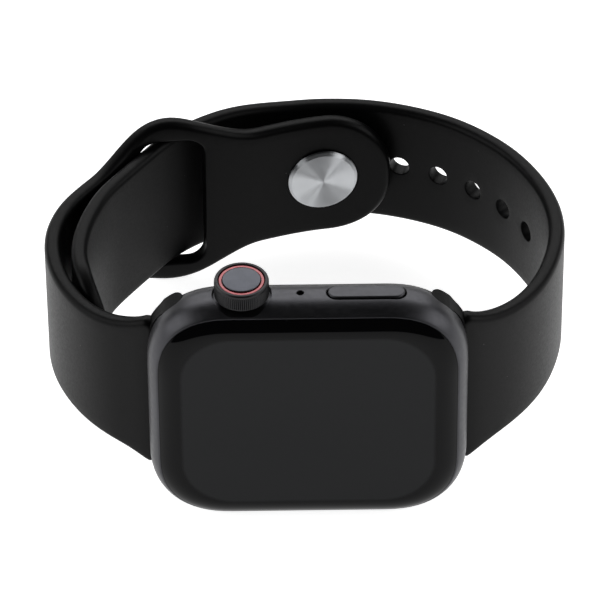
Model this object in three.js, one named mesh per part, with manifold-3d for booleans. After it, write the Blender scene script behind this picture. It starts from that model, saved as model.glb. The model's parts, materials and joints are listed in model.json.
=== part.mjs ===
// A square smartwatch on a closed pin-and-tuck elastomer band, standing on the long side of its case.
//
// Everything is modelled in the watch's own frame, in millimetres: x along the case past the band's two ends,
// y from the screen (negative) to the wrist (positive), and z along the crown's axis. At the end the whole watch
// leans back until it rests on the side of its case and on the widest part of its band, on the plane z = 0.
import * as THREE from "three";
import { mergeVertices } from "three/addons/utils/BufferGeometryUtils.js";
import Module from "manifold-3d";

const wasm = await Module();
wasm.setup();

// ---- Driving dimensions ----------------------------------------------------------------------------------------
const CASE_LENGTH = 44; // along x
const CASE_WIDTH = 38; // along z
const CASE_DEPTH = 9.4; // along y, from glass to back cover
const CASE_CORNER = 11.5; // corner radius seen from the front
const CORNER_POWER = 2.35; // 2 is a circular corner, more is squarer
const EDGE_RADIUS = 4.15; // rounding of the case from front to back
const CRYSTAL_RADIUS = 11.8;
const CRYSTAL_HEIGHT = 1.3; // of the dome, proud of the back
const GLASS_LINE = -3.62; // depth of the seam between glass and housing
const SEAM = 0.25; // gap between fixed pieces that meet
const SLACK = 0.2; // gap round pieces that move

const BAND_THICKNESS = 2.3;
const BAND_EDGE = 0.95; // rounding of the band's edges
const BAND_HALF_WIDTH = 10.2;
const LUG_HALF_WIDTH = 14.3; // where the band meets the case
const HOLE_RADIUS = 1.5;
const HOLE_PITCH = 6.25;
const STUD_RADIUS = 5.05;

const CROWN_X = -8.9;
const CONTROL_Y = 0.35; // the line that the crown, the microphone and the side button share
const CROWN_RADIUS = 3.75;
const CROWN_TRAVEL = 0.3;
const BUTTON_X = 8.05;
const BUTTON_LENGTH = 10.5;
const BUTTON_HEIGHT = 2.5;
const BUTTON_TRAVEL = 0.3;
const MICROPHONE_X = -0.95;
const RELEASE = { x: 18.3, width: 1.7 }; // the button in the back that frees the band
const CATCH = { x: 18.95, width: 1.1 }; // the catch under it, in the band's bar
const RELEASE_LENGTH = 6;
const RELEASE_TRAVEL = 0.3;

const halfLength = CASE_LENGTH / 2;
const halfWidth = CASE_WIDTH / 2;
const frontY = -CASE_DEPTH / 2;
const backY = CASE_DEPTH / 2;

// ---- Finishes --------------------------------------------------------------------------------------------------
const finish = (color, roughness, metalness) => new THREE.MeshStandardMaterial({ color, roughness, metalness });
const anodised = finish(0x2b2b2e, 0.35, 0.9);
const blackGlass = finish(0x08080a, 0.05, 0.0);
const displayBlack = finish(0x050506, 0.2, 0.0);
const ceramic = finish(0x17171a, 0.15, 0.0);
const elastomer = finish(0x1b1b1d, 0.6, 0.0);
const steel = finish(0xb9bcc0, 0.3, 1.0);
const brass = finish(0xb08d45, 0.4, 1.0);
const redRing = finish(0xb03a45, 0.4, 0.2);
const rubber = finish(0x111111, 0.8, 0.0);
const boardGreen = finish(0x16331f, 0.5, 0.1);
const darkPlastic = finish(0x222326, 0.6, 0.0);
const copper = finish(0xb8683a, 0.4, 1.0);

// ---- Making solids ---------------------------------------------------------------------------------------------
function signedVolume(geometry) {
  const place = geometry.attributes.position;
  const corners = [new THREE.Vector3(), new THREE.Vector3(), new THREE.Vector3()];
  let sum = 0;
  for (let i = 0; i < geometry.index.count; i += 3) {
    corners.forEach((corner, k) => corner.fromBufferAttribute(place, geometry.index.getX(i + k)));
    sum += corners[0].dot(corners[1].clone().cross(corners[2]));
  }
  return sum / 6;
}

// A closed skin over rings of points, each end closed by a fan round the ring's own middle.
function skin(rings) {
  const count = rings[0].length;
  const points = rings.flat();
  const index = [];
  for (let r = 0; r + 1 < rings.length; r++) {
    for (let i = 0; i < count; i++) {
      const a = r * count + i;
      const b = r * count + ((i + 1) % count);
      index.push(a, b, a + count, b, b + count, a + count);
    }
  }
  for (const end of [0, rings.length - 1]) {
    const middle = points.length;
    const sum = rings[end].reduce((total, point) => total.add(point), new THREE.Vector3());
    points.push(sum.divideScalar(count));
    for (let i = 0; i < count; i++) {
      const a = end * count + i;
      const b = end * count + ((i + 1) % count);
      index.push(middle, end === 0 ? b : a, end === 0 ? a : b);
    }
  }
  const geometry = new THREE.BufferGeometry().setFromPoints(points).setIndex(index);
  return signedVolume(geometry) > 0 ? geometry : geometry.setIndex([...index].reverse());
}

function solid(geometry) {
  const bare = geometry.clone();
  bare.deleteAttribute("normal");
  bare.deleteAttribute("uv");
  const merged = mergeVertices(bare, 1e-4);
  const vertProperties = new Float32Array(merged.attributes.position.array);
  const triVerts = new Uint32Array(merged.index.array);
  return new wasm.Manifold(new wasm.Mesh({ numProp: 3, vertProperties, triVerts }));
}

function geometryOf(manifold) {
  const mesh = manifold.getMesh();
  return new THREE.BufferGeometry()
    .setAttribute("position", new THREE.BufferAttribute(new Float32Array(mesh.vertProperties), 3))
    .setIndex(new THREE.BufferAttribute(new Uint32Array(mesh.triVerts), 1));
}

const carve = (body, ...tools) =>
  geometryOf(tools.reduce((left, tool) => left.subtract(solid(tool)), solid(body)));

const join = (...bodies) => geometryOf(bodies.map(solid).reduce((whole, body) => whole.add(body)));

const box = (x0, x1, y0, y1, z0, z1) =>
  new THREE.BoxGeometry(x1 - x0, y1 - y0, z1 - z0).translate((x0 + x1) / 2, (y0 + y1) / 2, (z0 + z1) / 2);

// A solid of revolution about the z axis, from pairs of radius and height.
function turned(profile, sides = 16) {
  const points = profile.map(([radius, height]) => new THREE.Vector2(radius, height));
  return new THREE.LatheGeometry(points, sides).rotateX(Math.PI / 2);
}

const rod = (radius, z0, z1, sides = 16) => turned([[0, z0], [radius, z0], [radius, z1], [0, z1]], sides);

const tube = (inner, outer, z0, z1, sides = 16) =>
  turned([[inner, z0], [outer, z0], [outer, z1], [inner, z1], [inner, z0]], sides);

// Turns a solid that stands along z so that it stands along y instead.
const alongY = (geometry) => geometry.rotateX(-Math.PI / 2);

// A block with round ends, long along x, standing along z.
function oblong(length, height, z0, z1) {
  const radius = height / 2;
  const reach = length / 2 - radius;
  const outline = new THREE.Shape();
  outline.absarc(reach, 0, radius, -Math.PI / 2, Math.PI / 2);
  outline.absarc(-reach, 0, radius, Math.PI / 2, (3 * Math.PI) / 2);
  const options = { depth: z1 - z0, bevelEnabled: false, curveSegments: 5 };
  return new THREE.ExtrudeGeometry(outline, options).translate(0, 0, z0);
}

// A block with rounded corners, standing along z.
function roundedBlock(width, height, corner, z0, z1) {
  const reachX = width / 2 - corner;
  const reachY = height / 2 - corner;
  const outline = new THREE.Shape();
  outline.absarc(reachX, reachY, corner, 0, Math.PI / 2);
  outline.absarc(-reachX, reachY, corner, Math.PI / 2, Math.PI);
  outline.absarc(-reachX, -reachY, corner, Math.PI, (3 * Math.PI) / 2);
  outline.absarc(reachX, -reachY, corner, (3 * Math.PI) / 2, 2 * Math.PI);
  const options = { depth: z1 - z0, bevelEnabled: false, curveSegments: 6 };
  return new THREE.ExtrudeGeometry(outline, options).translate(0, 0, z0);
}

// The case's outline drawn in by an inset, as a ring of points at depth y. Extra narrows it along x alone.
function outlineRing(inset, y, extra = 0, perCorner = 7) {
  const reachX = halfLength - inset;
  const reachZ = halfWidth - inset;
  const radius = CASE_CORNER - inset;
  const narrow = (reachX - extra) / reachX;
  const bend = (value) => Math.max(value, 0) ** (2 / CORNER_POWER);
  const ring = [];
  for (let corner = 0; corner < 4; corner++) {
    const sideX = corner === 0 || corner === 3 ? 1 : -1;
    const sideZ = corner < 2 ? 1 : -1;
    for (let i = 0; i < perCorner; i++) {
      const share = corner % 2 ? 1 - i / (perCorner - 1) : i / (perCorner - 1);
      const angle = (share * Math.PI) / 2;
      const x = (reachX - radius + radius * bend(Math.cos(angle))) * narrow;
      const z = reachZ - radius + radius * bend(Math.sin(angle));
      ring.push(new THREE.Vector3(sideX * x, y, sideZ * z));
    }
  }
  return ring;
}

const plate = (inset, y0, y1, extra = 0, perCorner = 7) =>
  skin([outlineRing(inset, y0, extra, perCorner), outlineRing(inset, y1, extra, perCorner)]);

const rim = (outer, inner, y0, y1, extra = 0) =>
  carve(plate(outer, y0, y1, extra, 5), plate(inner, y0 - 1, y1 + 1, extra, 5));

// The case's rounded outer form between two depths.
function caseForm(y0, y1, steps) {
  const ring = (step) => {
    const y = THREE.MathUtils.lerp(y0, y1, step / steps);
    const past = Math.max(Math.abs(y) - (backY - EDGE_RADIUS), 0);
    return outlineRing(EDGE_RADIUS - Math.sqrt(EDGE_RADIUS ** 2 - past ** 2), y);
  };
  return skin(Array.from({ length: steps + 1 }, (_, step) => ring(step)));
}

const watch = new THREE.Group();
function piece(name, material, geometry, x = 0, y = 0, z = 0) {
  const mesh = new THREE.Mesh(geometry, material);
  mesh.name = name;
  mesh.position.set(x, y, z);
  watch.add(mesh);
}

// ---- Band channels ---------------------------------------------------------------------------------------------
const CHANNEL_Y = 2.2;
const BAR = { inner: 17.0, outer: 20.3, neckEnd: 21.5, bulb: 1.5, neck: 1.15 };
const BAR_BACK = CHANNEL_Y + BAR.bulb;
const CATCH_BOTTOM = 2.5;

// The section of the bar at each end of the band, seen along z: a bulb and a narrower neck that opens outwards.
// The channel in the case is the same section with some slack, run out past the case's side.
function barSection(slack, end) {
  const bulb = BAR.bulb + slack;
  const neck = BAR.neck + slack;
  const start = BAR.inner - slack;
  const shoulder = BAR.outer - 0.7 + slack;
  const shape = new THREE.Shape();
  shape.moveTo(end, -neck);
  shape.lineTo(end, neck);
  shape.lineTo(shoulder + 0.5, neck);
  shape.lineTo(shoulder, bulb);
  shape.lineTo(start + bulb, bulb);
  shape.absarc(start + bulb, 0, bulb, Math.PI / 2, (3 * Math.PI) / 2);
  shape.lineTo(shoulder, -bulb);
  shape.lineTo(shoulder + 0.5, -neck);
  return shape;
}

function bar(side, slack, end, reach) {
  const options = { depth: 2 * reach, bevelEnabled: false, curveSegments: 6 };
  const geometry = new THREE.ExtrudeGeometry(barSection(slack, end), options).translate(0, 0, -reach);
  return (side < 0 ? geometry.rotateY(Math.PI) : geometry).translate(0, CHANNEL_Y, 0);
}

// An oblong along z that stands along y, for the band release buttons, the catches and the pockets they run in.
const releaseBlock = (side, place, grow, y0, y1) =>
  alongY(oblong(RELEASE_LENGTH + 2 * grow, place.width + 2 * grow, y0, y1))
    .rotateY(Math.PI / 2).translate(side * place.x, 0, 0);

// ---- Housing ---------------------------------------------------------------------------------------------------
const POCKET_FLOOR = -0.9; // of the shelf that the logic board is screwed to
const CAVITY_INSET = 2.8;
const LEDGE_Y = 3.15; // where the back seal lies
const LEDGE_UNDER = 1.95;
const CROWN_POCKET_Z = 17.9;
const BUTTON_POCKET_Z = 17.4;
const SCREW_X = 16.7;
const SCREW_Z = 8.5;

function housing() {
  const atCrown = (geometry) => geometry.translate(CROWN_X, CONTROL_Y, 0);
  const atButton = (geometry) => geometry.translate(BUTTON_X, CONTROL_Y, 0);
  const cuts = [
    plate(CAVITY_INSET, -6, POCKET_FLOOR, 0.9),
    plate(CAVITY_INSET, -2, LEDGE_UNDER, 3.6),
    plate(6.6, LEDGE_UNDER - 1, LEDGE_Y + 1, 1.6),
    plate(5.3, LEDGE_Y, 6, 1.6),
    atCrown(rod(CROWN_RADIUS + 0.35, CROWN_POCKET_Z, 22, 28)),
    atCrown(rod(1.75, 15, 22)),
    atButton(oblong(BUTTON_LENGTH + 2 * SLACK, BUTTON_HEIGHT + 2 * SLACK, BUTTON_POCKET_Z, 22)),
    atButton(rod(0.85, 15, 22, 10)),
    rod(0.5, 15, 22, 12).translate(MICROPHONE_X, CONTROL_Y, 0),
  ];
  for (const side of [-1, 1]) {
    cuts.push(bar(side, SLACK, 25, 25));
    cuts.push(releaseBlock(side, RELEASE, SLACK, BAR_BACK, 6));
    cuts.push(oblong(7.4, 1.2, -22, -15).translate(side * 4.6, CONTROL_Y, 0));
    for (const end of [-1, 1]) cuts.push(alongY(rod(0.65, -2, -0.25, 10)).translate(side * SCREW_X, 0, end * SCREW_Z));
  }
  return carve(caseForm(GLASS_LINE + SEAM / 2, backY, 10), ...cuts);
}
piece("housing", anodised, housing());

// ---- Front -----------------------------------------------------------------------------------------------------
piece("front_glass", blackGlass, caseForm(frontY, GLASS_LINE - SEAM / 2, 4));
piece("display_seal", rubber, rim(3.05, 4.05, -3.6, -2.9, 0.9));
piece("display_panel", displayBlack, plate(4.3, -3.6, -2.95, 0.9, 5));
piece("display_flex", copper, box(-6, 6, -2.8, -2.35, -13.4, -10.6));

// ---- Inside ----------------------------------------------------------------------------------------------------
const screwPlaces = [[-1, -1], [-1, 1], [1, -1], [1, 1]].map(([side, end]) => [side * SCREW_X, 0, end * SCREW_Z]);
const screwHoles = screwPlaces.map((place) => alongY(rod(0.65, -3, 0, 10)).translate(...place));
piece("logic_board", boardGreen, carve(plate(4.4, -2.15, -1.6, 0, 5), ...screwHoles));
const screwProfile = [[0, -2.75], [1, -2.75], [1, -2.3], [0.45, -2.3], [0.45, -0.4], [0, -0.4]];
screwPlaces.forEach((place, i) => piece(`board_screw_${i + 1}`, steel, alongY(turned(screwProfile, 10)), ...place));
piece("board_shield", steel, box(-7.2, 11.4, -1.4, -0.75, -9, 9));
piece("battery", darkPlastic, box(-7.2, 13.2, -0.5, 1.9, -9.6, 9.6));
piece("haptic_motor", steel, box(-14.6, -7.6, -1.2, 1.6, -9.2, 9.2));
piece("speaker_module", darkPlastic, box(-9.4, 9.4, -1.2, 1.6, -15.3, -10.2));
piece("speaker_mesh", steel, box(-8.8, 8.8, CONTROL_Y - 1.1, CONTROL_Y + 1.1, -15.95, -15.6));
piece("microphone", darkPlastic, box(MICROPHONE_X - 1.6, MICROPHONE_X + 1.6, -0.85, 1.55, 13.2, 15.4));
piece("microphone_mesh", steel, rod(1, 15.65, 15.95, 12), MICROPHONE_X, CONTROL_Y);

// ---- Back ------------------------------------------------------------------------------------------------------
// The crystal is a low dome that ends in a small flat where the charger's face lands.
function crystal() {
  const foot = 3.55;
  const flat = 3;
  const steps = 5;
  const profile = [[0, foot], [CRYSTAL_RADIUS, foot], [CRYSTAL_RADIUS, backY]];
  for (let step = 1; step <= steps; step++) {
    const share = step / steps;
    const radius = THREE.MathUtils.lerp(CRYSTAL_RADIUS, flat, share);
    profile.push([radius, backY + CRYSTAL_HEIGHT * Math.sin((share * Math.PI) / 2)]);
  }
  profile.push([0, backY + CRYSTAL_HEIGHT]);
  return alongY(turned(profile, 36));
}
piece("back_seal", rubber, rim(5.6, 6.4, LEDGE_Y + 0.1, LEDGE_Y + 0.35, 1.6));
const crystalHole = alongY(rod(CRYSTAL_RADIUS + SEAM, 2, 7, 36));
piece("back_cover", ceramic, carve(plate(5.55, LEDGE_Y + 0.5, backY, 1.6), crystalHole));
piece("back_crystal", ceramic, crystal());
piece("charging_coil", copper, alongY(tube(7.4, 10.6, 2.85, 3.35, 24)));
piece("alignment_magnet", steel, alongY(rod(2.2, 2.75, 3.35, 16)));
piece("sensor_board", boardGreen, alongY(rod(10.9, 2.15, 2.6, 24)));
for (let i = 0; i < 4; i++) {
  const angle = Math.PI / 4 + (i * Math.PI) / 2;
  const geometry = alongY(rod(1.5, 2.75, 3.35, 12));
  piece(`photodiode_${i + 1}`, blackGlass, geometry, 4.8 * Math.cos(angle), 0, 4.8 * Math.sin(angle));
}

// ---- Crown -----------------------------------------------------------------------------------------------------
const KNOB_BOTTOM = CROWN_POCKET_Z + CROWN_TRAVEL + 0.6;
const KNOB_TOP = 21.5;
const KNOB_FACE = KNOB_TOP - 0.7; // of the recess that the ring and the cap sit in
const knobProfile = [
  [0, KNOB_FACE - 0.35], [1.2, KNOB_FACE - 0.35], [1.2, KNOB_BOTTOM], [3.4, KNOB_BOTTOM],
  [CROWN_RADIUS, KNOB_BOTTOM + 0.4], [CROWN_RADIUS, KNOB_TOP - 0.5], [3.35, KNOB_TOP], [3.2, KNOB_TOP],
  [3.2, KNOB_FACE], [0, KNOB_FACE],
];
const atCrown = [CROWN_X, CONTROL_Y];
piece("crown_knob", anodised, turned(knobProfile, 28), ...atCrown);
piece("crown_ring", redRing, tube(2.7, 3.1, KNOB_FACE + 0.15, KNOB_TOP - 0.15, 28), ...atCrown);
const capProfile = [
  [0, KNOB_FACE + 0.15], [2.6, KNOB_FACE + 0.15], [2.6, KNOB_TOP - 0.1], [1.6, KNOB_TOP + 0.05], [0, KNOB_TOP + 0.1],
];
piece("crown_cap", ceramic, turned(capProfile, 24), ...atCrown);
piece("crown_shaft", steel, rod(0.9, 12.4, KNOB_FACE - 0.55), ...atCrown);
piece("crown_encoder_drum", steel, tube(1.05, 1.45, 12.7, 14.1, 20), ...atCrown);
const bushing = [[1.1, 14.4], [1.5, 14.4], [1.5, 17.6], [1.1, 17.6], [1.1, 14.4]];
piece("crown_bushing", brass, turned(bushing), ...atCrown);
piece("crown_thrust_pin", steel, rod(0.5, 11.55, 12.2, 10), ...atCrown);
piece("crown_encoder", darkPlastic, box(1.75, 3.2, -0.95, 0.95, 12.7, 14.1), ...atCrown);
piece("crown_switch", darkPlastic, box(-1.6, 1.6, -1.3, 1.3, 9.9, 11.05), ...atCrown);

// ---- Side button -----------------------------------------------------------------------------------------------
const buttonBottom = BUTTON_POCKET_Z + BUTTON_TRAVEL + 0.2;
const BUTTON_TOP = 19.15;
const atSideButton = [BUTTON_X, CONTROL_Y];
piece("side_button", anodised, oblong(BUTTON_LENGTH, BUTTON_HEIGHT, buttonBottom, BUTTON_TOP), ...atSideButton);
piece("side_button_plunger", steel, rod(0.6, 14.9, buttonBottom - 0.2, 10), ...atSideButton);
piece("side_button_switch", darkPlastic, box(-1.6, 1.6, -1.1, 1.2, 12.9, 14.4), ...atSideButton);

// ---- Band release buttons --------------------------------------------------------------------------------------
const releaseBottom = BAR_BACK + RELEASE_TRAVEL + 0.05;
piece("short_release_button", anodised, releaseBlock(-1, RELEASE, 0, releaseBottom, backY - 0.1));
piece("long_release_button", anodised, releaseBlock(1, RELEASE, 0, releaseBottom, backY - 0.1));

// ---- Band ------------------------------------------------------------------------------------------------------
// Middle lines of the two straps in the x, y plane, each from its bar. The short strap has the slot and the stud.
// The long strap has the holes, goes round behind the stud and dives through the slot, so that its tail lies inside.
const shortRoute = [
  [-20.6, 2.2], [-22, 2.5], [-24.2, 3.7], [-27.1, 5.3], [-29.8, 7.7], [-32.3, 11.2], [-34.3, 15.6], [-35.4, 20.6],
  [-35.3, 25.6], [-33.7, 30.5], [-31.1, 34.4], [-28.1, 38], [-25, 41.3], [-22.4, 43.2], [-19.2, 43.9], [-15.8, 44.1],
  [-12.9, 44.8], [-7.8, 46.4], [-1.9, 48.3], [4, 49.5], [12.6, 49.7],
];
const longRoute = [
  [20.6, 2.2], [22, 2.6], [24.3, 4], [27.3, 6.3], [30.1, 9.3], [32.6, 13.4], [34.5, 18.8], [35.35, 24.2],
  [34.9, 29.7], [33.1, 35.2], [29.6, 41.2], [25.3, 45.7], [21.2, 48.7], [17.1, 50.7], [13, 52.1], [8.8, 53],
  [4.6, 53.3], [0.4, 53.2], [-3.9, 52.5], [-8.1, 51.3], [-12.2, 49.5], [-16.2, 47.1], [-19.8, 44], [-22.7, 40.3],
  [-25.6, 36.4], [-28.6, 31.9], [-30.4, 27.4], [-31.4, 23.3], [-31.7, 19.2], [-31.1, 15.8], [-30.1, 12.6],
  [-28, 9.9],
];

function routeOf(points) {
  const curve = new THREE.CatmullRomCurve3(points.map(([x, y]) => new THREE.Vector3(x, y, 0)), false, "centripetal");
  curve.arcLengthDivisions = 600;
  return curve;
}
const shortCurve = routeOf(shortRoute);
const longCurve = routeOf(longRoute);
const shortLength = shortCurve.getLength();
const longLength = longCurve.getLength();

// Distance along a curve to the point whose x is nearest, between two shares of its length.
function distanceAtX(curve, x, from, to) {
  let best = from;
  for (let share = from; share <= to; share += 0.0005) {
    if (Math.abs(curve.getPointAt(share).x - x) < Math.abs(curve.getPointAt(best).x - x)) best = share;
  }
  return best * curve.getLength();
}

// Position and outward direction on a strap's middle line, at a distance from its bar.
function stationOf(curve, distance) {
  const share = THREE.MathUtils.clamp(distance / curve.getLength(), 0, 1);
  const point = curve.getPointAt(share);
  const along = curve.getTangentAt(share);
  const across = new THREE.Vector3(along.y, -along.x, 0);
  if (curve === shortCurve) across.negate();
  return { point, along, across };
}

// Half the width of a strap's round end, which comes down to nearly nothing at the tip.
const roundEnd = (halfWidthThere, left, radius) => {
  if (left >= radius) return halfWidthThere;
  return halfWidthThere - radius + Math.sqrt(Math.max(radius ** 2 - (radius - left) ** 2, 0));
};

const lugFlare = (distance) => (LUG_HALF_WIDTH - BAND_HALF_WIDTH) * Math.exp(-distance / 4.4);

const SLOT = { x: -19.6, length: 23, width: 10.6, corner: 2.6 };
const BULGE = { x: -19.5, halfWidth: 14.6, reach: 13.5 };
const slotDistance = distanceAtX(shortCurve, SLOT.x, 0.5, 0.8);
const bulgeDistance = distanceAtX(shortCurve, BULGE.x, 0.5, 0.8);
function shortHalfWidth(distance) {
  const away = Math.abs(distance - bulgeDistance) / BULGE.reach;
  const bulge = (BULGE.halfWidth - BAND_HALF_WIDTH) * (1 - THREE.MathUtils.smoothstep(away, 0, 1));
  return roundEnd(BAND_HALF_WIDTH + lugFlare(distance) + bulge, shortLength - distance, 9.3);
}

const TAIL = { start: 80, full: 93, spread: 1.0 };
function longHalfWidth(distance) {
  const spread = TAIL.spread * THREE.MathUtils.smoothstep(distance, TAIL.start, TAIL.full);
  return roundEnd(BAND_HALF_WIDTH + spread + lugFlare(distance), longLength - distance, 7.5);
}

// A strap swept along its middle line: a flat section with rounded edges, standing along z.
function sweep(curve, halfWidthAt) {
  const length = curve.getLength();
  const pitch = 2.1;
  const distances = [];
  for (let d = 0; d < length - 4; d += pitch) distances.push(d);
  for (const left of [4, 2.6, 1.5, 0.7, 0.25, 0.04]) distances.push(length - left);
  const half = BAND_THICKNESS / 2;
  const rings = distances.map((distance) => {
    const { point, across } = stationOf(curve, distance);
    const width = halfWidthAt(distance);
    const edge = Math.min(BAND_EDGE, width * 0.6);
    const ring = [];
    for (let corner = 0; corner < 4; corner++) {
      const sideN = corner === 0 || corner === 3 ? 1 : -1;
      const sideZ = corner < 2 ? 1 : -1;
      for (let i = 0; i < 3; i++) {
        const angle = ((corner % 2 ? 2 - i : i) * Math.PI) / 4;
        const n = sideN * (half - edge + edge * Math.cos(angle));
        const z = sideZ * (width - edge + edge * Math.sin(angle));
        ring.push(point.clone().addScaledVector(across, n).setZ(z));
      }
    }
    return ring;
  });
  return skin(rings);
}

// Stands a solid that was made along z on a strap, pointing outwards.
function standOn(curve, distance, geometry) {
  const { point, along, across } = stationOf(curve, distance);
  const up = new THREE.Vector3(0, 0, 1);
  const side = up.clone().cross(across).normalize();
  const turn = new THREE.Matrix4().makeBasis(side, up, across).setPosition(point);
  return geometry.applyMatrix4(turn);
}

// The bar's ends follow the case's outline, nearly flush with it, and its middle holds a recess for the catch.
function strap(curve, side, halfWidthAt, cuts) {
  const flush = solid(bar(side, 0, BAR.neckEnd, 18)).intersect(solid(plate(0.9, -3, 8).scale(1.06, 1, 1)));
  const recess = solid(releaseBlock(side, CATCH, SLACK, CATCH_BOTTOM - RELEASE_TRAVEL - SLACK, 6));
  const whole = solid(sweep(curve, halfWidthAt)).add(flush).subtract(recess);
  return geometryOf(cuts.reduce((left, cut) => left.subtract(solid(cut)), whole));
}

const STUD_X = 2.5;
const studDistance = distanceAtX(shortCurve, STUD_X, 0.8, 1);
const stud = stationOf(shortCurve, studDistance);
const firstHole = distanceAtX(longCurve, stud.point.clone().addScaledVector(stud.across, 3.7).x, 0.4, 0.75);
const holeDistances = [-1, 0, 1, 2, 3, 4, 5, 6].map((step) => firstHole - step * HOLE_PITCH);
const slot = standOn(shortCurve, slotDistance, roundedBlock(SLOT.width, SLOT.length, SLOT.corner, -8, 8));
const tabHole = standOn(shortCurve, studDistance, rod(1.75, -4, 4, 16));
const studSeat = standOn(shortCurve, studDistance, rod(STUD_RADIUS + 0.2, -4, 0.1 - BAND_THICKNESS / 2, 32));
const holes = holeDistances.map((distance) => standOn(longCurve, distance, rod(HOLE_RADIUS, -4, 4, 16)));
piece("short_strap", elastomer, strap(shortCurve, -1, shortHalfWidth, [slot, tabHole, studSeat]));
piece("long_strap", elastomer, strap(longCurve, 1, longHalfWidth, holes));

// ---- Stud ------------------------------------------------------------------------------------------------------
const face = -BAND_THICKNESS / 2 - 0.15;
const plateProfile = [
  [0, face - 0.7], [STUD_RADIUS - 0.35, face - 0.7], [STUD_RADIUS, face - 0.35], [STUD_RADIUS, face], [1.4, face],
  [1.4, face + 1.2], [0, face + 1.2],
];
const headStart = 5.6;
const pinProfile = [
  [0, face + 1.4], [1.15, face + 1.4], [1.15, headStart], [2.1, headStart], [2.1, headStart + 0.3],
  [1.6, headStart + 0.8], [0, headStart + 0.9],
];
piece("stud_base", steel, standOn(shortCurve, studDistance, turned(plateProfile, 32)));
piece("stud_pin", steel, standOn(shortCurve, studDistance, turned(pinProfile, 20)));

// ---- Catches ---------------------------------------------------------------------------------------------------
piece("short_strap_catch", steel, releaseBlock(-1, CATCH, 0, CATCH_BOTTOM, BAR_BACK));
piece("long_strap_catch", steel, releaseBlock(1, CATCH, 0, CATCH_BOTTOM, BAR_BACK));

// ---- The whole, leaning back on its side -----------------------------------------------------------------------
const bulgePoint = stationOf(shortCurve, bulgeDistance).point;
const lean = Math.atan2(halfWidth - BULGE.halfWidth, bulgePoint.y);
watch.rotation.x = -lean;
const whole = new THREE.Group();
whole.add(watch);
const bounds = new THREE.Box3().setFromObject(whole, true);
const centre = bounds.getCenter(new THREE.Vector3());
watch.position.set(-centre.x, -centre.y, -bounds.min.z);
export default whole;
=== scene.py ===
"""The looks of a square smartwatch on a closed pin-and-tuck band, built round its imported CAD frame.

Shapes are made in the watch's own frame in millimetres: x along the case, y from the screen to the
wrist and z along the crown's axis. WATCH then places them in the CAD's frame, in metres, where the watch
leans back a little.
"""
import json
import math

import bmesh
import bpy
import numpy as np
from mathutils import Matrix, Vector
from mathutils.geometry import delaunay_2d_cdt

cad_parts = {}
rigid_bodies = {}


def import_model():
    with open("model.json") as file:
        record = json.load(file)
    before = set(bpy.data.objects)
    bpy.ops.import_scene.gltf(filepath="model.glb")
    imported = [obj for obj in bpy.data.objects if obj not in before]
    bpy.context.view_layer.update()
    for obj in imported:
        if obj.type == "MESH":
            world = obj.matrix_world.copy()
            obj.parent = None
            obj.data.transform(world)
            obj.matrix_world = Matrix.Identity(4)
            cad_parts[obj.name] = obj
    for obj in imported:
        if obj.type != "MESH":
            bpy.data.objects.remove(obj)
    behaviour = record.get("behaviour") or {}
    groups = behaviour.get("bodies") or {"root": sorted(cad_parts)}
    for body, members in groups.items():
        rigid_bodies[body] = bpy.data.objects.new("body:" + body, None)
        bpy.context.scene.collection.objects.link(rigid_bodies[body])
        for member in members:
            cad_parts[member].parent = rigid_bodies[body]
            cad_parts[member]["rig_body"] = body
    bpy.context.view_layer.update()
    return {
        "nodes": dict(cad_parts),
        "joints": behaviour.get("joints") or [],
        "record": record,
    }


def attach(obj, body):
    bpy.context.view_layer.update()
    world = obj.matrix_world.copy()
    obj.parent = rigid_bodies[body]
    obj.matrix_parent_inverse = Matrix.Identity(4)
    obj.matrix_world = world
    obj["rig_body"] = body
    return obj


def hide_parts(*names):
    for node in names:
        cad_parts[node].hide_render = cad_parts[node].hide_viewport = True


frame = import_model()
scene = bpy.context.scene

# ---- The watch's frame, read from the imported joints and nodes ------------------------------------
MM = 0.001
joints = {joint["name"]: joint for joint in frame["joints"]}
crown_axis = Vector(joints["crown_turn"]["axis"]).normalized()
to_wrist = -Vector(joints["short_release_press"]["axis"]).normalized()
along_case = to_wrist.cross(crown_axis)
turn = Matrix((along_case, to_wrist, crown_axis)).transposed()


def extent(node):
    """The lowest and highest corner of a CAD node along the watch's own axes, in millimetres."""
    points = np.array([vertex.co for vertex in frame["nodes"][node].data.vertices]) / MM
    own = points @ np.array(turn)
    return Vector(own.min(0)), Vector(own.max(0))


housing_low, housing_high = extent("housing")
glass_low, glass_high = extent("front_glass")
CASE_LENGTH = housing_high.x - housing_low.x
CASE_WIDTH = glass_high.z - glass_low.z + 2 * (housing_high.x - glass_high.x)
CASE_DEPTH = housing_high.y - glass_low.y
middle = Vector((
    (housing_low.x + housing_high.x) / 2,
    (glass_low.y + housing_high.y) / 2,
    (glass_low.z + glass_high.z) / 2))
origin = turn @ middle * MM
WATCH = Matrix.Translation(origin) @ turn.to_4x4()


def about_middle(node):
    """A node's lowest and highest corner, measured from the middle of the case."""
    return [corner - middle for corner in extent(node)]


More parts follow.
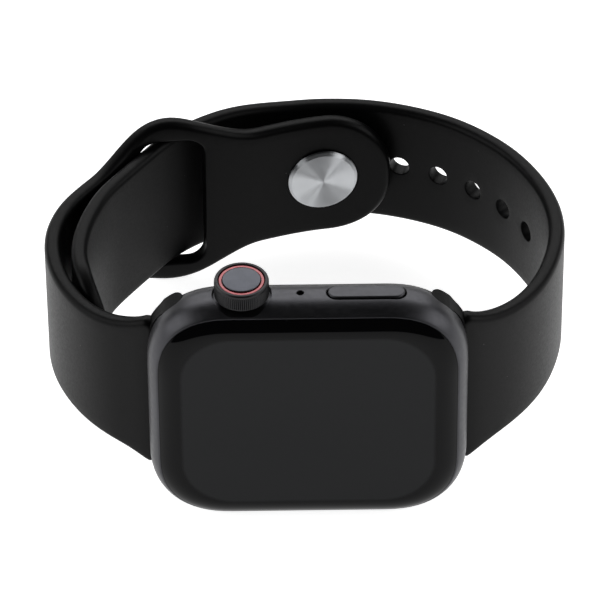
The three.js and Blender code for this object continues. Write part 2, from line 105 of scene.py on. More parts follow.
# ---- Driving dimensions, in millimetres ----------------------------------------------------------
CASE_CORNER = 11.5
CORNER_POWER = 2.35
EDGE_RADIUS = 4.15
EDGE_START = CASE_DEPTH / 2 - EDGE_RADIUS
GLASS_LINE = -3.62
GLASS_GAP = 0.17
SLACK = 0.2
GROOVE_GAP = 0.18  # round the side button, seen from outside
CROWN_FLOOR = 17.9
CROWN_GAP = 0.35
SHAFT_HOLE = 1.75
BUTTON_FLOOR = 17.4
WALL_INSIDE = 15  # height from which the holes through the case's long sides start
MICROPHONE_HOLE = 0.5
SPEAKER = {"x": 4.6, "length": 7.4, "width": 1.2}
RIM_EASE = 0.06  # opening out of small holes where they meet the case's surface
CAVITIES = (  # inset, front, back and narrowing along x of each step of the case's inside
    (2.8, -6, -0.9, 0.9), (2.8, -2, 1.95, 3.6), (6.6, 0.95, 4.15, 1.6), (5.3, 3.15, 6, 1.6))

DISPLAY = {"half_length": 17.4, "half_width": 14.8, "corner": 7.2}

BAND_THICKNESS = 2.3
BAND_EDGE = 0.95
BAND_HALF_WIDTH = 10.2
LUG_HALF_WIDTH = 14.3
LUG_EASE = 1.6
HOLE_RADIUS = 1.5
HOLE_EDGE = 0.15
HOLE_PITCH = 6.25
HOLE_STEPS = range(-1, 7)
SLOT = {"x": -19.6, "length": 22.7, "width": 10.6, "corner": 2.6, "edge": 0.4}
BULGE = {"x": -19.5, "half_width": 14.6, "reach": 13.5}
TAIL = {"start": 80, "full": 93, "spread": 1.0}
SHORT_TIP = 9.3
LONG_TIP = 7.5
STUD_X = 2.5
STUD_RADIUS = 5.05
STUD_GAP = 3.7
POST_RADIUS = 1.15
POST_HEAD = {"radius": 2.1, "start": 5.6}

CHANNEL_Y = 2.2
BAR = {"inner": 17.0, "outer": 20.3, "neck_end": 21.5, "bulb": 1.5, "neck": 1.15}
CATCH = {"x": 18.95, "width": 1.1, "length": 6, "floor": 2.0}

SHORT_ROUTE = [
    (-20.6, 2.2), (-22, 2.5), (-24.2, 3.7), (-27.1, 5.3), (-29.8, 7.7), (-32.3, 11.2), (-34.3, 15.6),
    (-35.4, 20.6), (-35.3, 25.6), (-33.7, 30.5), (-31.1, 34.4), (-28.1, 38), (-25, 41.3), (-22.4, 43.2),
    (-19.2, 43.9), (-15.8, 44.1), (-12.9, 44.8), (-7.8, 46.4), (-1.9, 48.3), (4, 49.5), (12.6, 49.7),
]
LONG_ROUTE = [
    (20.6, 2.2), (22, 2.6), (24.3, 4), (27.3, 6.3), (30.1, 9.3), (32.6, 13.4), (34.5, 18.8), (35.35, 24.2),
    (34.9, 29.7), (33.1, 35.2), (29.6, 41.2), (25.3, 45.7), (21.2, 48.7), (17.1, 50.7), (13, 52.1), (8.8, 53),
    (4.6, 53.3), (0.4, 53.2), (-3.9, 52.5), (-8.1, 51.3), (-12.2, 49.5), (-16.2, 47.1), (-19.8, 44),
    (-22.7, 40.3), (-25.6, 36.4), (-28.6, 31.9), (-30.4, 27.4), (-31.4, 23.3), (-31.7, 19.2), (-31.1, 15.8),
    (-30.1, 12.6), (-28, 9.9),
]


# ---- Materials -----------------------------------------------------------------------------------
class Finish:
    """A procedural material, laid out on object coordinates, so every size in it is a real size."""

    def __init__(self, name, colour, roughness, metallic=0.0, **sockets):
        self.material = bpy.data.materials.new(name)
        self.material.use_nodes = True
        self.tree = self.material.node_tree
        self.shader = self.tree.nodes["Principled BSDF"]
        self.coordinates = self.node("TexCoord").outputs["Object"]
        self.shader.inputs["Base Color"].default_value = (*colour, 1)
        self.shader.inputs["Roughness"].default_value = roughness
        self.shader.inputs["Metallic"].default_value = metallic
        for socket, value in sockets.items():
            self.shader.inputs[socket.replace("_", " ")].default_value = value
        self.relief = None

    def node(self, kind, **settings):
        made = self.tree.nodes.new("ShaderNode" + kind)
        for key, value in settings.items():
            setattr(made, key, value)
        return made

    def link(self, source, target):
        self.tree.links.new(source, target)

    def noise(self, size, detail=2.0, stretch=(1, 1, 1)):
        """Smooth noise whose lumps are about size millimetres across."""
        mapping = self.node("Mapping")
        mapping.inputs["Scale"].default_value = [share / (size * MM) for share in stretch]
        self.link(self.coordinates, mapping.inputs["Vector"])
        made = self.node("TexNoise")
        made.inputs["Scale"].default_value = 1
        made.inputs["Detail"].default_value = detail
        self.link(mapping.outputs["Vector"], made.inputs["Vector"])
        return made.outputs["Fac"]

    def math(self, operation, first, second=0.0):
        made = self.node("Math", operation=operation)
        for socket, value in zip(made.inputs, (first, second)):
            if isinstance(value, (int, float)):
                socket.default_value = value
            else:
                self.link(value, socket)
        return made.outputs[0]

    def span(self, factor, low, high, start=0.3, stop=0.7):
        """The factor between start and stop, spread from low to high."""
        made = self.node("MapRange", interpolation_type="SMOOTHSTEP")
        for socket, value in zip(("From Min", "From Max", "To Min", "To Max"), (start, stop, low, high)):
            made.inputs[socket].default_value = value
        self.link(factor, made.inputs["Value"])
        return made.outputs["Result"]

    def blend(self, factor, first, second):
        """One colour passing into another; each is a colour or another blend's output."""
        made = self.node("Mix", data_type="RGBA")
        self.link(factor, made.inputs["Factor"])
        colours = [socket for socket in made.inputs if socket.type == "RGBA"]
        for socket, value in zip(colours, (first, second)):
            if isinstance(value, tuple):
                socket.default_value = (*value, 1)
            else:
                self.link(value, socket)
        return next(socket for socket in made.outputs if socket.type == "RGBA")

    def mottled(self, size, detail, dark, light):
        """One shade passing into another over lumps of a size."""
        return self.blend(self.span(self.noise(size, detail), 0, 1), dark, light)

    def vary_roughness(self, size, detail, low, high):
        self.roughness(self.span(self.noise(size, detail), low, high))

    def colour(self, source):
        self.link(source, self.shader.inputs["Base Color"])

    def roughness(self, source):
        self.link(source, self.shader.inputs["Roughness"])

    def bump(self, height, strength, depth):
        """Adds relief of a depth in millimetres over what is there already."""
        made = self.node("Bump")
        made.inputs["Strength"].default_value = strength
        made.inputs["Distance"].default_value = depth * MM
        self.link(height, made.inputs["Height"])
        if self.relief is not None:
            self.link(self.relief, made.inputs["Normal"])
        self.relief = made.outputs["Normal"]
        self.link(self.relief, self.shader.inputs["Normal"])

    def specks(self, size, every):
        """Rare small spots, such as dust: size is their radius and every the cell that holds at most one."""
        made = self.node("TexVoronoi", feature="F1")
        made.inputs["Scale"].default_value = 1 / (every * MM)
        self.link(self.coordinates, made.inputs["Vector"])
        return self.math("LESS_THAN", made.outputs["Distance"], size / every)

    def radius_from_axis(self):
        """Distance from the object's own z axis, in metres."""
        split = self.node("SeparateXYZ")
        self.link(self.coordinates, split.inputs["Vector"])
        squares = [self.math("MULTIPLY", split.outputs[axis], split.outputs[axis]) for axis in ("X", "Y")]
        return self.math("SQRT", self.math("ADD", *squares))


def elastomer():
    made = Finish("band_elastomer", (0.0018, 0.0018, 0.0019), 0.42, Specular_IOR_Level=0.09,
                  Sheen_Weight=0.004, Sheen_Roughness=0.4)
    shade = made.mottled(9, 3, (0.0012, 0.0012, 0.0013), (0.0017, 0.0017, 0.0019))
    made.colour(made.blend(made.specks(0.06, 2.9), shade, (0.1, 0.1, 0.1)))
    made.vary_roughness(0.4, 4, 0.39, 0.46)
    made.bump(made.noise(0.12, 3), 0.25, 0.02)
    return made.material


def anodised():
    made = Finish("case_anodised", (0.062, 0.062, 0.066), 0.4, 1.0)
    made.colour(made.mottled(6, 3, (0.05, 0.05, 0.054), (0.057, 0.057, 0.062)))
    made.vary_roughness(0.6, 4, 0.36, 0.43)
    made.bump(made.noise(0.06, 2), 0.2, 0.008)
    return made.material


def crown_metal():
    made = Finish("crown_metal", (0.03, 0.03, 0.031), 0.38, 1.0)
    ringed = made.noise(0.12, 2, (0.15, 0.15, 1))
    made.colour(made.blend(made.span(ringed, 0, 1), (0.026, 0.026, 0.027), (0.035, 0.035, 0.036)))
    made.roughness(made.span(ringed, 0.34, 0.46))
    made.bump(made.noise(0.07, 2), 0.2, 0.008)
    return made.material


def cover_glass():
    """Black glass over the display, with a painted reflection: the flat is lighter than the curved rim."""
    made = Finish("cover_glass", (0.0015, 0.0015, 0.0018), 0.03, Specular_IOR_Level=0.095)
    split = made.node("SeparateXYZ")
    made.link(made.coordinates, split.inputs["Vector"])
    squares = []
    for axis, half in (("X", DISPLAY["half_length"]), ("Z", DISPLAY["half_width"])):
        size = made.math("ABSOLUTE", split.outputs[axis])
        past = made.math("MAXIMUM", made.math("SUBTRACT", size, (half - DISPLAY["corner"]) * MM), 0.0)
        squares.append(made.math("MULTIPLY", past, past))
    away = made.math("SQRT", made.math("ADD", *squares))
    outside_painted_reflection = made.span(away, 0, 1, (DISPLAY["corner"] - 0.35) * MM, (DISPLAY["corner"] + 0.35) * MM)
    # painted reflection: the flat is coloured lighter than the curved rim, for the bright floor seen in it
    shade = made.blend(outside_painted_reflection, (0.0125, 0.013, 0.0138), (0.0015, 0.0015, 0.0018))
    made.colour(made.blend(made.specks(0.05, 3.6), shade, (0.06, 0.06, 0.06)))
    made.vary_roughness(7, 4, 0.02, 0.06)
    made.bump(made.noise(14, 1), 0.05, 0.02)
    return made.material


def back_ceramic():
    made = Finish("back_ceramic", (0.012, 0.012, 0.013), 0.12, Coat_Weight=0.4, Coat_Roughness=0.05)
    made.colour(made.mottled(5, 3, (0.01, 0.01, 0.011), (0.015, 0.015, 0.0165)))
    made.vary_roughness(2, 5, 0.09, 0.18)
    made.bump(made.noise(0.3, 3), 0.05, 0.01)
    return made.material


def sensor_crystal():
    """Black glass with the darker and lighter rings of the sensor windows under it."""
    made = Finish("sensor_crystal", (0.01, 0.01, 0.011), 0.05, Coat_Weight=0.6, Coat_Roughness=0.03)
    radius = made.radius_from_axis()
    window = made.math("LESS_THAN", made.math("ABSOLUTE", made.math("SUBTRACT", radius, 4.6 * MM)), 1.7 * MM)
    band = made.math("LESS_THAN", made.math("ABSOLUTE", made.math("SUBTRACT", radius, 9.6 * MM)), 0.35 * MM)
    split = made.node("SeparateXYZ")
    made.link(made.coordinates, split.inputs["Vector"])
    gap = made.math("MINIMUM", *[made.math("ABSOLUTE", split.outputs[axis]) for axis in ("X", "Y")])
    quarter = made.math("MULTIPLY", window, made.math("GREATER_THAN", gap, 0.45 * MM))
    shade = made.mottled(2, 2, (0.007, 0.007, 0.008), (0.011, 0.011, 0.012))
    shade = made.blend(quarter, shade, (0.018, 0.01, 0.01))
    made.colour(made.blend(band, shade, (0.06, 0.06, 0.062)))
    made.vary_roughness(4, 4, 0.03, 0.09)
    return made.material


def cap_ceramic():
    made = Finish("crown_cap_ceramic", (0.048, 0.05, 0.058), 0.23, 1.0)
    made.colour(made.mottled(1.5, 3, (0.046, 0.048, 0.055), (0.051, 0.053, 0.061)))
    made.vary_roughness(0.4, 4, 0.2, 0.26)
    made.bump(made.noise(0.05, 2), 0.03, 0.003)
    return made.material


def red_ring():
    made = Finish("ring_red", (0.5, 0.045, 0.06), 0.35, Coat_Weight=0.3, Coat_Roughness=0.2)
    made.colour(made.mottled(0.5, 3, (0.46, 0.035, 0.05), (0.55, 0.06, 0.075)))
    made.vary_roughness(0.3, 3, 0.3, 0.42)
    return made.material


def stud_steel():
    """Steel turned on a lathe: fine grooves in rings round the object's own axis."""
    made = Finish("stud_steel", (0.62, 0.635, 0.655), 0.45, 1.0, Anisotropic=1.0, Anisotropic_Rotation=0.25)
    around = made.node("Tangent", direction_type="RADIAL", axis="Z")
    made.link(around.outputs["Tangent"], made.shader.inputs["Tangent"])
    radius = made.radius_from_axis()
    place = made.node("CombineXYZ")
    made.link(radius, place.inputs["X"])
    grooves = made.node("TexNoise")
    grooves.inputs["Scale"].default_value = 1 / (0.035 * MM)
    grooves.inputs["Detail"].default_value = 3
    made.link(place.outputs["Vector"], grooves.inputs["Vector"])
    shade = made.mottled(1.8, 3, (0.61, 0.625, 0.645), (0.64, 0.655, 0.675))
    made.colour(made.blend(made.span(grooves.outputs["Fac"], 0, 0.35), shade, (0.55, 0.565, 0.58)))
    made.vary_roughness(0.9, 3, 0.43, 0.47)
    made.bump(grooves.outputs["Fac"], 0.25, 0.006)
    return made.material


def plain_metal(name, light, dark, roughness, grain):
    made = Finish(name, light, roughness, 1.0)
    made.colour(made.mottled(grain * 6, 3, dark, light))
    made.vary_roughness(grain * 3, 4, roughness - 0.06, roughness + 0.08)
    made.bump(made.noise(grain, 2, (1, 1, 0.1)), 0.25, 0.01)
    return made.material


def perforated_steel():
    made = Finish("mesh_steel", (0.2, 0.2, 0.21), 0.4, 1.0)
    holes = made.node("TexVoronoi", feature="F1")
    holes.inputs["Scale"].default_value = 1 / (0.28 * MM)
    holes.inputs["Randomness"].default_value = 0
    made.link(made.coordinates, holes.inputs["Vector"])
    open_share = made.span(holes.outputs["Distance"], 0, 1, 0.25, 0.35)
    # painted shade: the holes are not cut; they are coloured near black for the dark seen through them
    made.colour(made.blend(open_share, (0.01, 0.01, 0.01), (0.2, 0.2, 0.21)))
    made.vary_roughness(0.2, 3, 0.34, 0.5)
    made.bump(open_share, 0.5, 0.05)
    return made.material


def moulded(name, light, dark, roughness, grain=0.25):
    made = Finish(name, light, roughness)
    made.colour(made.mottled(grain * 12, 3, dark, light))
    made.vary_roughness(grain * 4, 4, roughness - 0.08, roughness + 0.08)
    made.bump(made.noise(grain, 3), 0.3, 0.02)
    return made.material


def circuit_board():
    """Green solder mask over straight tracks, with bright pads here and there."""
    made = Finish("board_green", (0.02, 0.1, 0.045), 0.4, Coat_Weight=0.3, Coat_Roughness=0.2)
    tracks = made.node("TexBrick", offset=0.35)
    tracks.inputs["Scale"].default_value = 1
    tracks.inputs["Mortar Size"].default_value = 0.12
    tracks.inputs["Brick Width"].default_value = 2.6
    tracks.inputs["Row Height"].default_value = 0.7
    scaled = made.node("Mapping")
    scaled.inputs["Scale"].default_value = (1 / MM,) * 3
    scaled.inputs["Rotation"].default_value = (math.pi / 2, 0, 0)
    made.link(made.coordinates, scaled.inputs["Vector"])
    made.link(scaled.outputs["Vector"], tracks.inputs["Vector"])
    mask = made.mottled(4, 2, (0.016, 0.085, 0.038), (0.024, 0.115, 0.052))
    routed = made.blend(tracks.outputs["Fac"], mask, (0.035, 0.16, 0.075))
    made.colour(made.blend(made.specks(0.32, 1.7), routed, (0.55, 0.5, 0.35)))
    made.vary_roughness(0.8, 3, 0.32, 0.48)
    made.bump(tracks.outputs["Fac"], 0.3, 0.03)
    return made.material


def wound_copper():
    """Enamelled wire wound in rings round the watch's y axis, or the grain of a flex."""
    made = Finish("copper_wire", (0.6, 0.25, 0.12), 0.3, 1.0)
    rings = made.node("TexWave", wave_type="RINGS", rings_direction="SPHERICAL")
    rings.inputs["Scale"].default_value = 1 / (0.9 * MM)
    made.link(made.coordinates, rings.inputs["Vector"])
    # painted shade: darker in the dips between the turns and lighter on their crowns, as the bump rises
    made.colour(made.blend(made.span(rings.outputs["Fac"], 0, 1), (0.34, 0.12, 0.05), (0.66, 0.29, 0.14)))
    made.vary_roughness(0.3, 3, 0.24, 0.4)
    made.bump(rings.outputs["Fac"], 0.4, 0.04)
    return made.material


FINISHES = {
    "band": elastomer(),
    "case_metal": anodised(),
    "crown_metal": crown_metal(),
    "front_glass": cover_glass(),
    "display": moulded("display_black", (0.006, 0.006, 0.007), (0.004, 0.004, 0.005), 0.25),
    "back_ceramic": back_ceramic(),
    "crystal": sensor_crystal(),
    "crown_cap": cap_ceramic(),
    "ring_red": red_ring(),
    "stud_steel": stud_steel(),
    "inner_steel": plain_metal("inner_steel", (0.56, 0.57, 0.59), (0.46, 0.47, 0.49), 0.32, 0.15),
    "brass": plain_metal("bushing_brass", (0.62, 0.45, 0.19), (0.5, 0.35, 0.14), 0.3, 0.12),
    "copper": wound_copper(),
    "board": circuit_board(),
    "battery": moulded("battery_foil", (0.07, 0.07, 0.075), (0.045, 0.045, 0.05), 0.45, 0.6),
    "dark_plastic": moulded("dark_plastic", (0.03, 0.03, 0.032), (0.02, 0.02, 0.022), 0.5),
    "seal": moulded("seal_rubber", (0.014, 0.014, 0.014), (0.009, 0.009, 0.009), 0.75, 0.4),
    "mesh": perforated_steel(),
}


# ---- Making shapes -------------------------------------------------------------------------------
def mesh_from(points, faces, merge=1e-5):
    """A closed mesh whose doubled points are merged and whose faces all point out."""
    mesh = bpy.data.meshes.new("form")
    mesh.from_pydata([tuple(float(value) for value in point) for point in points], [], faces)
    work = bmesh.new()
    work.from_mesh(mesh)
    bmesh.ops.remove_doubles(work, verts=work.verts, dist=merge)
    bmesh.ops.recalc_face_normals(work, faces=work.faces)
    if not all(edge.is_manifold for edge in work.edges):
        raise RuntimeError("a shape came out open")
    work.to_mesh(mesh)
    work.free()
    return mesh


def rounded(points, radius, steps=4):
    """An open outline with each of its inner corners eased off."""
    points = [np.array(point, float) for point in points]
    made = [points[0]]
    for before, corner, after in zip(points, points[1:], points[2:]):
        reach = [min(radius, np.linalg.norm(other - corner) * 0.45) for other in (before, after)]
        start = corner + (before - corner) / np.linalg.norm(before - corner) * reach[0]
        stop = corner + (after - corner) / np.linalg.norm(after - corner) * reach[1]
        made.append(start + (start - corner) * 0.1)
        for share in np.linspace(0, 1, steps + 1):
            made.append((1 - share) ** 2 * start + 2 * share * (1 - share) * corner + share ** 2 * stop)
        made.append(stop + (stop - corner) * 0.1)
    made.append(points[-1])
    return made


def skin(rings):
    """A closed skin over rings of points, with a flat face over each end."""
    count = len(rings[0])
    points = [point for ring in rings for point in ring]
    faces = [tuple(range(count)), tuple(range(len(points) - count, len(points)))]
    for start in range(0, len(points) - count, count):
        for i in range(count):
            a, b = start + i, start + (i + 1) % count
            faces.append((a, b, b + count, a + count))
    return mesh_from(points, faces)


def turned(profile, sides=96, loop=False):
    """A solid of revolution about z from radius and height, closed on the axis or a loop of its own."""
    angles = np.arange(sides) * 2 * math.pi / sides
    rings = [[(r * math.cos(a), r * math.sin(a), h) for a in angles] for r, h in profile]
    if not loop:
        return skin([ring for ring, (r, _) in zip(rings, profile) if r > 1e-6])
    points = [point for ring in rings for point in ring]
    faces = []
    for row in range(len(rings)):
        for i in range(sides):
            a, b = row * sides + i, row * sides + (i + 1) % sides
            step = sides if row + 1 < len(rings) else -row * sides
            faces.append((a, b, b + step, a + step))
    return mesh_from(points, faces)


def stadium(length, width, grow=0.0, steps=12):
    """A ring of flat points with round ends, long along x."""
    radius = width / 2 + grow
    reach = (length - width) / 2
    angles = np.linspace(-math.pi / 2, math.pi / 2, steps + 1)
    right = [(reach + radius * math.cos(a), radius * math.sin(a)) for a in angles]
    straight = [(x, radius) for x in np.linspace(reach, -reach, steps + 2)[1:-1]]
    left = [(-x, -y) for x, y in right]
    return right + straight + left + [(-x, -y) for x, y in straight]


def rounded_box(width, height, corner, steps=8):
    """A ring of flat points, width by height, with rounded corners."""
    ring = []
    for quarter, (side_x, side_y) in enumerate(((1, 1), (-1, 1), (-1, -1), (1, -1))):
        for a in np.linspace(0, math.pi / 2, steps + 1) + quarter * math.pi / 2:
            ring.append((side_x * (width / 2 - corner) + corner * math.cos(a),
                         side_y * (height / 2 - corner) + corner * math.sin(a)))
    return ring


def stack(outline, profile, wrap):
    """A skin over outlines of changing inset; wrap turns flat x, y and a height into a point."""
    return skin([[wrap(x, y, height) for x, y in outline(inset)] for inset, height in profile])


def case_outline(inset, narrow=0.0, corner_steps=16, straight_steps=12):
    """The case's outline in x and z drawn in by an inset; narrow takes it in along x alone."""
    radius = CASE_CORNER - inset
    reach_x, reach_z = CASE_LENGTH / 2 - inset, CASE_WIDTH / 2 - inset
    squeeze = (reach_x - narrow) / reach_x
    angles = np.linspace(0, math.pi / 2, corner_steps + 1)
    corner = [
        (reach_x - radius + radius * max(math.cos(a), 0) ** (2 / CORNER_POWER),
         reach_z - radius + radius * max(math.sin(a), 0) ** (2 / CORNER_POWER)) for a in angles]
    (low_x, low_z), (high_x, high_z) = corner[0], corner[-1]
    ring = []
    for side_x, side_z in ((1, 1), (-1, 1), (-1, -1), (1, -1)):
        part = [(side_x * x, side_z * z) for x, z in corner]
        ring += part if side_x * side_z > 0 else part[::-1]
        if side_x * side_z > 0:
            straight = np.linspace(side_x * high_x, -side_x * high_x, straight_steps)[1:-1]
            ring += [(x, side_z * high_z) for x in straight]
        else:
            straight = np.linspace(side_z * low_z, -side_z * low_z, straight_steps)[1:-1]
            ring += [(side_x * low_x, z) for z in straight]
    return [(x * squeeze, z) for x, z in ring]


def edge_inset(y):
    """How far the case's rounded edge draws in at depth y."""
    past = max(abs(y) - EDGE_START, 0)
    return EDGE_RADIUS - math.sqrt(max(EDGE_RADIUS ** 2 - past ** 2, 0))


def side_height(x, y):
    """Height of the case's long side over a place on it."""
    radius = CASE_CORNER - edge_inset(y)
    past = max(abs(x) - (CASE_LENGTH / 2 - CASE_CORNER), 0) / radius
    return CASE_WIDTH / 2 - CASE_CORNER + radius * (1 - past ** CORNER_POWER) ** (1 / CORNER_POWER)


def from_case(x, z, y):
    return (x, y, z)


def upright(x, y, height):
    return (x, y, height)


def plate(inset, y0, y1, narrow=0.0, edge=0.0):
    profile = [(inset + 3, y0), (inset, y0), (inset, y1), (inset + 3, y1)]
    profile = rounded(profile, edge) if edge else profile[1:3]
    return stack(lambda i: case_outline(i, narrow), profile, from_case)


def combine(base, tools, operation="DIFFERENCE"):
    """The base mesh with the tools cut from it, joined to it or kept in common with it."""
    holder = bpy.data.objects.new("holder", base)
    scene.collection.objects.link(holder)
    helpers = [bpy.data.objects.new("tool", tool) for tool in tools]
    for helper in helpers:
        scene.collection.objects.link(helper)
        modifier = holder.modifiers.new("combine", "BOOLEAN")
        modifier.operation = operation
        modifier.solver = "MANIFOLD"
        modifier.object = helper
    made = bpy.data.meshes.new_from_object(holder.evaluated_get(bpy.context.evaluated_depsgraph_get()))
    for used in [holder, *helpers]:
        bpy.data.objects.remove(used)
    if not made.polygons:
        raise RuntimeError("a cut or a join came out empty")
    return made


def moved(mesh, matrix):
    mesh.transform(matrix)
    return mesh


def shift(x=0.0, y=0.0, z=0.0):
    return Matrix.Translation((x, y, z))


FACING_BACK = Matrix.Rotation(-math.pi / 2, 4, "X")  # turns what stands along z to stand along y
LONG_ALONG_Z = Matrix.Rotation(math.pi / 2, 4, "Y")


def piece(name, node, mesh, finish, place=Matrix.Identity(4), sharp=35):
    """Finishes a mesh in millimetres as the piece that stands for a CAD node, on that node's own body."""
    mesh.transform(Matrix.Scale(MM, 4))
    mesh.materials.clear()
    mesh.materials.append(FINISHES[finish])
    mesh.polygons.foreach_set("use_smooth", [True] * len(mesh.polygons))
    mesh.set_sharp_from_angle(angle=math.radians(sharp))
    mesh.name = name
    made = bpy.data.objects.new(name, mesh)
    scene.collection.objects.link(made)
    placed = place.copy()
    placed.translation = place.translation * MM
    made.matrix_world = WATCH @ placed
    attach(made, frame["nodes"][node]["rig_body"])
    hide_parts(node)
    return made


# ---- Case ----------------------------------------------------------------------------------------
crown_low, crown_high = about_middle("crown_knob")
button_low, button_high = about_middle("side_button")
release_low, release_high = about_middle("long_release_button")
ring_low, ring_high = about_middle("crown_ring")
cap_low, cap_high = about_middle("crown_cap")
mic_low, mic_high = about_middle("microphone_mesh")
crystal_low, crystal_high = about_middle("back_crystal")
cover_low, cover_high = about_middle("back_cover")
CROWN_PLACE = (crown_low + crown_high) / 2
BUTTON_PLACE = (button_low + button_high) / 2
RELEASE_PLACE = (release_low + release_high) / 2
CONTROL_Y = CROWN_PLACE.y
CROWN_RADIUS = (crown_high.x - crown_low.x) / 2
BUTTON_SIZE = button_high - button_low
RELEASE_SIZE = release_high - release_low
BACK = CASE_DEPTH / 2
FAR = 22  # past the case on every side, for tools that cut right out
ON_AXIS = 1e-5  # as near to its axis as a turned profile comes


def bar_section(slack, end):
    """The bar's section in x and y, a bulb and an outward neck; the channel is the same with slack."""
    bulb, neck = BAR["bulb"] + slack, BAR["neck"] + slack
    start, shoulder = BAR["inner"] - slack, BAR["outer"] - 0.7 + slack
    upper = rounded([(end, neck), (shoulder + 0.5, neck), (shoulder, bulb), (start + bulb, bulb)], 0.2)
    angles = np.linspace(math.pi / 2, 3 * math.pi / 2, 25)[1:-1]
    bow = [(start + bulb + bulb * math.cos(a), bulb * math.sin(a)) for a in angles]
    lower = [(x, -y) for x, y in upper[::-1]]
    return [(x, y + CHANNEL_Y) for x, y in [*upper, *bow, *lower]]


def bar(side, slack, end, reach):
    section = [(side * x, y) for x, y in bar_section(slack, end)]
    return skin([[(x, y, z) for x, y in section] for z in (-reach, reach)])


def crown_pocket():
    """A stepped bore: the knob's pocket with an eased floor, and the hole for its shaft."""
    radius = CROWN_RADIUS + CROWN_GAP
    steps = [(SHAFT_HOLE, WALL_INSIDE), (SHAFT_HOLE, CROWN_FLOOR), (radius, CROWN_FLOOR), (radius, FAR)]
    profile = [(ON_AXIS, WALL_INSIDE), *rounded(steps, 0.15), (ON_AXIS, FAR)]
    return moved(turned(profile), shift(CROWN_PLACE.x, CONTROL_Y))


def button_groove():
    """The side button's groove, with a small chamfer that follows the case's curve."""
    chamfer = 0.12
    length, width = BUTTON_SIZE.x, BUTTON_SIZE.y
    place = BUTTON_PLACE

    def ring(grow, rise=None, level=None):
        flat = [(place.x + x, place.y + y) for x, y in stadium(length, width, grow)]
        return [(x, y, side_height(x, y) + rise if level is None else level) for x, y in flat]

    return skin([
        ring(GROOVE_GAP, level=BUTTON_FLOOR), ring(GROOVE_GAP, rise=-chamfer),
        ring(GROOVE_GAP + chamfer, rise=0), ring(GROOVE_GAP + 2 * chamfer, rise=chamfer),
        ring(GROOVE_GAP + 2 * chamfer, level=FAR)])


def release_pocket(side):
    shape = stack(lambda inset: stadium(RELEASE_SIZE.z, RELEASE_SIZE.x, SLACK - inset),
                  [(0, 3.7), (0, BACK - 0.1), (-0.12, BACK), (-0.12, 6)], upright)
    return moved(shape, shift(side * RELEASE_PLACE.x) @ LONG_ALONG_Z @ FACING_BACK)


def housing():
    lip = GLASS_LINE + GLASS_GAP / 2
    ease = 0.07
    depths = [lip, lip + 0.02, lip + ease]
    widest = math.asin((abs(lip + ease) - EDGE_START) / EDGE_RADIUS)
    sweep = [widest * share for share in np.linspace(1, 0, 14)[1:]]
    depths += [-EDGE_START - EDGE_RADIUS * math.sin(a) for a in sweep]
    depths += list(np.linspace(-EDGE_START, EDGE_START, 4)[1:-1])
    depths += [EDGE_START + EDGE_RADIUS * math.sin(a) for a in np.linspace(0, math.pi / 2, 22)]
    profile = [(edge_inset(y), y) for y in depths]
    profile[0] = (profile[0][0] + ease, lip)
    profile[1] = (profile[1][0] + ease * 0.3, lip + 0.02)
    profile.append((EDGE_RADIUS + 0.3, BACK))
    shell = stack(case_outline, profile, from_case)
    tools = [*[plate(*cavity) for cavity in CAVITIES], crown_pocket(), button_groove()]
    side = CASE_WIDTH / 2
    microphone = [
        (ON_AXIS, WALL_INSIDE), (MICROPHONE_HOLE, WALL_INSIDE), (MICROPHONE_HOLE, side - RIM_EASE),
        (MICROPHONE_HOLE + 2 * RIM_EASE, side + RIM_EASE), (ON_AXIS, FAR)]
    tools.append(moved(turned(microphone, 32), shift((mic_low.x + mic_high.x) / 2, CONTROL_Y)))
    slit = [(0, -WALL_INSIDE), (0, RIM_EASE - side), (-2 * RIM_EASE, -RIM_EASE - side), (-2 * RIM_EASE, -FAR)]
    for end in (-1, 1):
        tools.append(bar(end, SLACK, 25, 25))
        tools.append(release_pocket(end))
        speaker = stack(lambda inset: stadium(SPEAKER["length"], SPEAKER["width"], -inset), slit, upright)
        tools.append(moved(speaker, shift(end * SPEAKER["x"], CONTROL_Y)))
    return combine(shell, tools)


def front_glass():
    """The glass carries the case's rounding on to the flat of the screen."""
    edge = GLASS_LINE - GLASS_GAP / 2
    ease = 0.07
    widest = math.asin((abs(edge) - EDGE_START) / EDGE_RADIUS)
    sweep = np.linspace(widest, math.pi / 2, 26)[1:]
    inset = edge_inset(edge)
    profile = [(inset + 0.6, edge), (inset + ease, edge), (inset, edge - 0.03)]
    profile += [(edge_inset(y), y) for y in [-EDGE_START - EDGE_RADIUS * math.sin(a) for a in sweep]]
    profile += [(EDGE_RADIUS + 0.25, -BACK), (EDGE_RADIUS + 2, -BACK)]
    return stack(case_outline, profile, from_case)


piece("case_housing", "housing", housing(), "case_metal")
piece("cover_glass", "front_glass", front_glass(), "front_glass", sharp=50)


# ---- Back ----------------------------------------------------------------------------------------
def back_cover():
    outer = plate(5.55, cover_low.y, cover_high.y, 1.6, 0.25)
    radius = (crystal_high.x - crystal_low.x) / 2 + 0.12
    top = BACK + 0.1
    hole = [(ON_AXIS, 0), (radius, 0), (radius, BACK - 0.1), (radius + 0.2, top), (ON_AXIS, top)]
    return combine(outer, [moved(turned(hole, 128), FACING_BACK)])


def back_crystal():
    """A low dome, flat in the middle, standing along z and turned to face the wrist where it is placed."""
    radius = (crystal_high.x - crystal_low.x) / 2
    flat = 3.0
    rise = crystal_high.y - BACK
    dome = [(radius + (flat - radius) * share, BACK + rise * math.sin(share * math.pi / 2))
            for share in np.linspace(0, 1, 30)]
    low, high = crystal_low.y, crystal_high.y
    foot = rounded([(1, low), (radius, low), *dome[:2]], 0.2)[1:-1]
    return turned([(ON_AXIS, low), *foot, *dome[1:], (flat * 0.8, high), (ON_AXIS, high)], 128)


